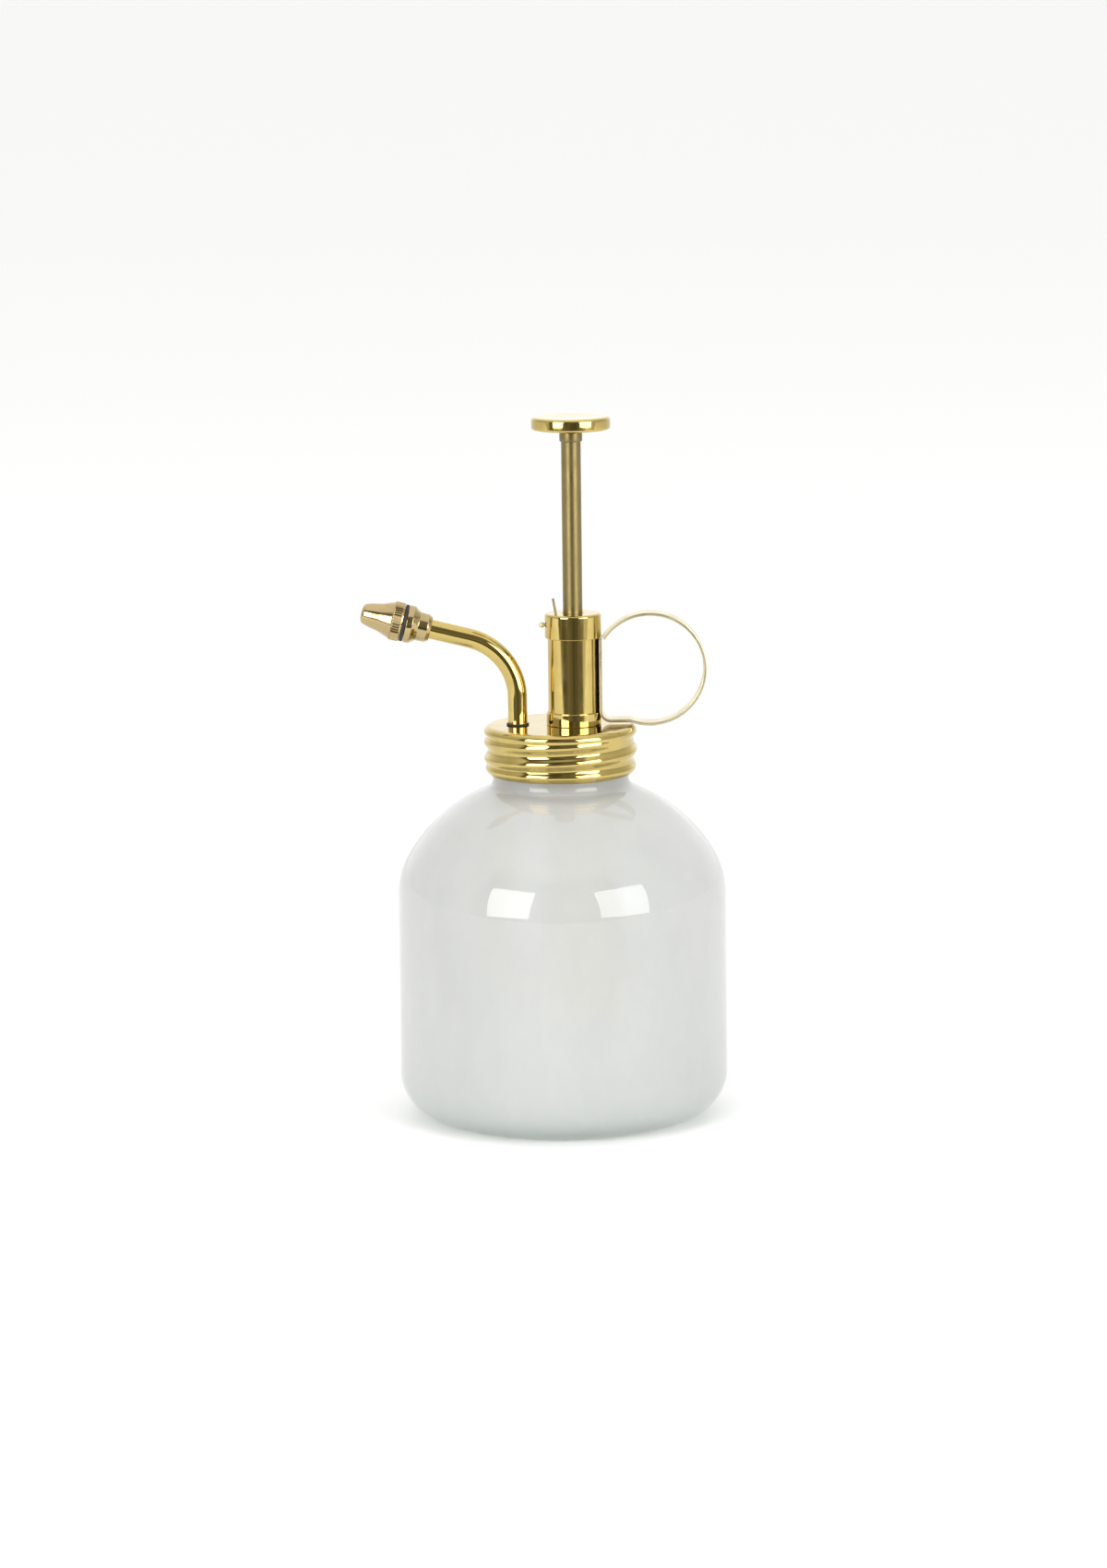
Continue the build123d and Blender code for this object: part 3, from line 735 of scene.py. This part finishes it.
def make_plunger():
    knob, rod, ferrule = upright("thumb_knob"), upright("plunger_rod"), upright("rod_ferrule")
    axis = vertical(knob.x)
    disc = knob.low + KNOB_STEM
    crown = [
        (0, knob.high - 0.12, 0),
        (3.0, knob.high - 0.1, 6),
        (7.6, knob.high, 3),
        (knob.r, knob.high - 0.05, 0.75),
        (knob.r, disc, 0.6),
        (4.3, disc, 0.35),
        (3.5, knob.low, 0.2),
        (rod.r + LOOSE_FIT, knob.low, 0.05),
        (rod.r + LOOSE_FIT, disc, 0),
        (KNOB_SOCKET_R, disc, 0),
        (KNOB_SOCKET_R, disc + KNOB_SOCKET_DEPTH, 0),
        (0, disc + KNOB_SOCKET_DEPTH, 0),
    ]
    turned("knob_disc", "thumb_knob", crown, axis, BRASS, "plunger", "brass", closed=False)
    sleeve = ring_corners(ferrule.r, rod.r + CLOSE_FIT, ferrule.low, ferrule.high, 0.3, SHARP_EDGE)
    turned("rod_collar", "rod_ferrule", sleeve, axis, AGED, "plunger", "brass")
    shaft = [
        (0, rod.low, 0),
        (ROD_CORE_R, rod.low, 0.2),
        (ROD_CORE_R, ROD_CORE_TOP, 0.02),
        (ROD_R, ROD_CORE_TOP, 0.15),
        (ROD_R, disc, 0.05),
        (ROD_CORE_R, disc, 0.02),
        (ROD_CORE_R, rod.high, 0.2),
        (0, rod.high, 0),
    ]
    turned("rod_brass", "plunger_rod", shaft, axis, AGED, "plunger", "brass", closed=False)


def path_points(*pieces):
    """Joins lists of points, dropping a point that repeats the one before it."""
    points = []
    for piece in pieces:
        for p in piece:
            if not points or (p - points[-1]).length > 1e-7:
                points.append(p)
    return points


def line_points(start, end, count):
    return [start.lerp(end, k / count) for k in range(count + 1)]


def arc_points(centre, radius, start, end, count):
    """Arc in the XZ plane, angles in degrees from +X towards +Z, sizes in millimetres."""
    cx, cz = centre
    return [
        Vector((cx + radius * cos(radians(a)), 0, cz + radius * sin(radians(a)))) * MM
        for a in steps(start, end, count)
    ]


def make_spout():
    turn = joint("nozzle_turn")
    outward = Vector(turn["axis"]).normalized()
    tilt = atan2(outward.z, -outward.x) * 180 / pi
    bend = arc_points((spout_x() - SPOUT_BEND_R, SPOUT_BEND_Z), SPOUT_BEND_R, 0, 90 - tilt, 40)
    foot = Vector((spout_x(), 0, SPOUT_LOW_Z)) * MM
    end = Vector(turn["pos_m"]) - outward * SPOUT_END * MM
    route = path_points(line_points(foot, bend[0], 12), bend, line_points(bend[-1], end, 14))
    outside = sections(route, circle_outline(SPOUT_R, SPOUT_SEGMENTS), SIDEWAYS)
    inside = sections(route, circle_outline(SPOUT_BORE_R, SPOUT_SEGMENTS), SIDEWAYS)
    verts, faces = skin(outside + inside[::-1], True)
    new_object("spout_brass", "spout_tube", verts, faces, [BRASS], "head", "brass")
    washer = upright("spout_washer")
    ring = ring_corners(washer.r, SPOUT_R + CLOSE_FIT, washer.low, washer.high, 0.12, SHARP_EDGE)
    turned("spout_ring", "spout_washer", ring, vertical(washer.x), BLACK, "head", "black_rubber")


def make_nozzle():
    """The nozzle's pieces, turned about its own axis, with z back from the tip."""
    turn = joint("nozzle_turn")
    axis = Turned(turn["pos_m"], -Vector(turn["axis"]))

    def knurled(r, angle, z):
        if KNURL_LOW < z < KNURL_HIGH and r > CONE_RIM_R:
            return r - KNURL_DEPTH * abs(2 * ((angle / TURN * KNURL_TEETH) % 1) - 1)
        return r

    tip = [
        (MIST_HOLE_R, 0.25, 0),
        (0.6, 0.05, 0.1),
        (1.3, 0.0, 0.5),
        (2.35, 0.35, 1.1),
        (2.95, 2.35, 1.6),
        (3.4, 4.6, 6.0),
        (4.42, 7.3, 0.5),
    ]
    outside = [tuple(p) for p in rounded(tip, False)[:-1]]
    knurl = [(4.42, 7.35), (CONE_RIM_R, 7.5), (KNURL_R, 7.62)]
    knurl += [(KNURL_R, z) for z in (7.71, 7.9, 8.5, 9.1, 9.6, 9.74, 9.84)]
    knurl += [(4.62, 10.05), (CONE_RIM_R, CONE_BACK)]
    inside = [
        (CONE_BORE_R, CONE_BACK),
        (CONE_BORE_R, CONE_SHELF),
        (CHAMBER_R, CONE_SHELF),
        (CHAMBER_R, CHAMBER_FRONT),
        (MIST_HOLE_R, CHAMBER_FRONT),
    ]
    verts, faces = lathe(outside + knurl + inside, axis, True, KNURL_TEETH * TOOTH_STEPS, knurled)
    shape = (verts, faces, [NOZZLE])
    new_object("nozzle_cone", "nozzle_cap", *shape, "nozzle_cap", "brass", crease=KNURL_CREASE)
    ring = ring_corners(CONE_RIM_R, CONE_BORE_R, RING_FRONT, RING_BACK, 0.3)
    turned("nozzle_ring", "nozzle_washer", ring, axis, BLACK, "nozzle_washer", "black_rubber")
    stem = [
        (STEM_R, STEM_FRONT, 0.2),
        (STEM_R, STEM_SHOULDER, 0.05),
        (4.6, STEM_SHOULDER, 0.15),
        (4.58, 12.5, 0.25),
        (3.9, 13.35, 0.5),
        (3.5, 14.0, 0.4),
        (3.38, 16.2, 0.3),
        (2.9, 17.05, 0.2),
        (STEM_SOCKET_R, 17.1, 0.05),
        (STEM_SOCKET_R, SPOUT_END, 0),
        (STEM_BORE_R, SPOUT_END, 0),
        (STEM_BORE_R, STEM_FRONT, 0),
    ]
    turned("nozzle_stem", "nozzle_body", stem, axis, NOZZLE, "head", "brass")


def make_finger_loop():
    """A strip up the barrel's side, which turns out at its foot, kinks, and rounds into the loop."""
    low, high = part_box("finger_loop")
    wide = (high[1] - low[1]) / MM
    run_x = low[0] / MM + STRIP_THICK / 2
    run_z = LOOP_Z - LOOP_R * cos(radians(KINK)) + KINK_R * (1 - cos(radians(KINK)))
    kink_x = LOOP_X - (LOOP_R + KINK_R) * sin(radians(KINK))
    top = Vector((run_x, 0, STRIP_TOP_Z)) * MM
    corner = arc_points((run_x + STRIP_CORNER_R, run_z + STRIP_CORNER_R), STRIP_CORNER_R, 180, 270, 12)
    bend = arc_points((kink_x, run_z - KINK_R), KINK_R, 90, 90 - KINK, 6)
    loop = arc_points((LOOP_X, LOOP_Z), LOOP_R, -90 - KINK, LOOP_END, 110)
    upright_run, foot_run = line_points(top, corner[0], 20), line_points(corner[-1], bend[0], 8)
    route = path_points(upright_run, corner, foot_run, bend, loop)
    x, y = STRIP_THICK / 2, wide / 2
    section = rounded([(a, b, STRIP_EDGE) for a, b in ((x, -y), (x, y), (-x, y), (-x, -y))])
    swept("loop_strip", "finger_loop", route, section, SIDEWAYS, PALE, "pale_brass")


def make_lock_wire():
    """A wire through the collar's side, with a flattened head outside and its tail up beside the rod."""
    barrel, collar = upright("barrel"), upright("barrel_cap")

    def around(offset, angle, z):
        return Vector((barrel.x + offset * cos(radians(angle)), offset * sin(radians(angle)), z)) * MM

    side = around(collar.r + 0.2, WIRE_SIDE, WIRE_Z)
    inside = around(WIRE_BEND_R, WIRE_BEND, WIRE_Z)
    up = around(WIRE_BEND_R, WIRE_BEND, collar.high)
    lean = radians(WIRE_TAIL_LEAN)
    tip = up + Vector((-sin(lean), 0, cos(lean))) * WIRE_TAIL * MM
    route = line_points(side, inside, 6)[:-1]
    route += [inside.lerp(side, 0.1).lerp(inside.lerp(up, 0.1), 0.5)]
    route += line_points(inside, up, 6)[1:] + line_points(up, tip, 6)[1:]
    head = Turned(around(collar.r + 0.72, WIRE_SIDE, WIRE_Z), side - inside)
    ball = [(max(WIRE_HEAD_R * sin(a), 0.0), -WIRE_HEAD_R * cos(a)) for a in steps(0, pi, 18)]
    verts, faces = lathe(ball, head, False, BALL_SEGMENTS)
    new_object("wire_head", "lock_wire", verts, faces, [PALE], "head", "wire")
    across = Vector((0.3, 1, 0.1)).normalized()
    swept("wire_pin", "lock_wire", route, circle_outline(WIRE_R, WIRE_SEGMENTS), across, WIRE, "wire")


def make_spring(name, node, wire, turns, fixed_end):
    """A coil between its node's ends."""
    size = upright(node)
    radius = size.r - wire
    rise = size.high - size.low - 2 * wire
    count = turns * COIL_STEPS
    line = []
    for k in range(count + 1):
        a = TURN * k / COIL_STEPS
        z = size.low + wire + rise * k / count
        line.append(Vector((size.x + radius * cos(a), radius * sin(a), z)) * MM)
    up = Vector((0, 0, 1))
    spring = swept(name, node, line, circle_outline(wire, COIL_SEGMENTS), up, STEEL, "steel")
    anchor = (size.x * MM, 0, getattr(size, fixed_end) * MM)
    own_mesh(spring)


def dress_inner_nodes():
    """Better materials on the CAD pieces that stay."""
    looks = {
        "brass": HIDDEN,
        "steel": STEEL,
        "black_rubber": BLACK,
        "nylon": NYLON,
        "dip_plastic": DIP,
        "wire": WIRE,
    }
    given = {part["node"]: part["material_slot"] for part in frame["record"]["subparts"]}
    for name, node in frame["nodes"].items():
        if given[name] in looks:
            for place in node.material_slots:
                place.material = looks[given[name]]


# ---------------------------------------------------------------- stage


def make_stage():
    """A wide floor that starts a little in front of the object."""
    size, front = FLOOR_SIZE_M, FLOOR_FRONT_M
    corners = [(-size, front, 0), (size, front, 0), (size, size, 0), (-size, size, 0)]
    mesh = plain_mesh("floor", corners, [(0, 1, 2, 3)])
    mesh.materials.append(floor_material())
    floor = bpy.data.objects.new("floor", mesh)
    bpy.context.scene.collection.objects.link(floor)


def window(name, azimuth, low, high, width, distance, power):
    """Soft window light in front of the object. Azimuth is in degrees from -Y towards +X."""
    middle = radians((low + high) / 2)
    a = radians(azimuth)
    aim = Vector((0, 0, WINDOW_AIM_Z)) * MM
    place = aim + Vector((sin(a) * cos(middle), -cos(a) * cos(middle), sin(middle))) * distance
    light = bpy.data.lights.new(name, "AREA")
    light.shape = "RECTANGLE"
    light.size = 2 * distance * tan(radians(width / 2))
    light.size_y = 2 * distance * tan(radians((high - low) / 2))
    light.energy = power
    obj = bpy.data.objects.new(name, light)
    obj.location = place
    obj.rotation_euler = (aim - place).to_track_quat("-Z", "Y").to_euler()
    obj.visible_camera = False
    bpy.context.scene.collection.objects.link(obj)


def make_world():
    """White surroundings, with a dark room in front of the object that only shows in reflections."""
    world = bpy.data.worlds.new("studio")
    bpy.context.scene.world = world
    world.use_nodes = True
    tree = world.node_tree
    sky = tree.nodes["Background"]

    def feed(sockets, values):
        for socket, value in zip(sockets, values):
            if isinstance(value, bpy.types.NodeSocket):
                tree.links.new(value, socket)
            else:
                socket.default_value = value

    def math(operation, *values):
        node = tree.nodes.new("ShaderNodeMath")
        node.operation = operation
        feed(node.inputs, values)
        return node.outputs[0]

    def soft_step(value, start, end):
        node = tree.nodes.new("ShaderNodeMapRange")
        node.interpolation_type = "SMOOTHSTEP"
        feed([node.inputs[name] for name in ("Value", "From Min", "From Max")], (value, start, end))
        return node.outputs[0]

    place = tree.nodes.new("ShaderNodeTexCoord").outputs["Generated"]
    split = tree.nodes.new("ShaderNodeSeparateXYZ")
    tree.links.new(place, split.inputs[0])
    azimuth = math("ARCTAN2", split.outputs["X"], math("MULTIPLY", split.outputs["Y"], -1.0))
    room = math("MULTIPLY", soft_step(azimuth, *ROOM_LEFT), soft_step(azimuth, *ROOM_RIGHT))
    room = math("MULTIPLY", room, soft_step(split.outputs["Z"], *ROOM_TOP))
    seen = tree.nodes.new("ShaderNodeLightPath").outputs["Is Camera Ray"]
    unseen = math("SUBTRACT", 1.0, seen)
    room = math("MULTIPLY", room, unseen)
    side = math("MULTIPLY", soft_step(math("ABSOLUTE", split.outputs["X"], 0.0), *SIDES), unseen)
    noise = tree.nodes.new("ShaderNodeTexNoise")
    tree.links.new(place, noise.inputs["Vector"])
    noise.inputs["Scale"].default_value = ROOM_PATCHES
    ramp = tree.nodes.new("ShaderNodeValToRGB")
    tree.links.new(noise.outputs["Fac"], ramp.inputs[0])
    for stop, (position, colour) in zip(ramp.color_ramp.elements, (ROOM_DARK, ROOM_LIGHT)):
        stop.position, stop.color = position, colour

    def mix(factor, start, end):
        node = tree.nodes.new("ShaderNodeMix")
        node.data_type = "RGBA"
        feed([node.inputs[number] for number in (0, 6, 7)], (factor, start, end))
        return node.outputs[2]

    around = mix(side, (1, 1, 1, 1), SIDE_COLOUR)
    tree.links.new(mix(room, around, ramp.outputs[0]), sky.inputs["Color"])
    sky.inputs["Strength"].default_value = WORLD_STRENGTH


def make_camera():
    """Camera in front of the object and a little above it."""
    centre, away = Vector(CAMERA_AIM) * MM, Vector(CAMERA_AT) * MM
    camera = bpy.data.objects.new("camera", bpy.data.cameras.new("camera"))
    camera.location = away
    facing = (centre - away).to_track_quat("-Z", "Y").to_matrix()
    roll = Matrix.Rotation(radians(CAMERA_ROLL), 3, "Z")
    camera.rotation_euler = (facing @ roll).to_euler()
    camera.data.lens = CAMERA_LENS
    camera.data.clip_start, camera.data.clip_end = CAMERA_CLIP_M
    bpy.context.scene.collection.objects.link(camera)
    bpy.context.scene.camera = camera


make_camera()
make_bottle()
make_cap()
make_barrel()
make_plunger()
make_spout()
make_nozzle()
make_finger_loop()
make_lock_wire()
make_spring("return_coil", "return_spring", 0.4, 20, "low")
make_spring("outlet_coil", "outlet_spring", 0.15, 6, "high")
dress_inner_nodes()
make_stage()
make_world()
for name, settings in WINDOWS.items():
    window(name, *settings)
bpy.context.scene.view_settings.view_transform = "Standard"
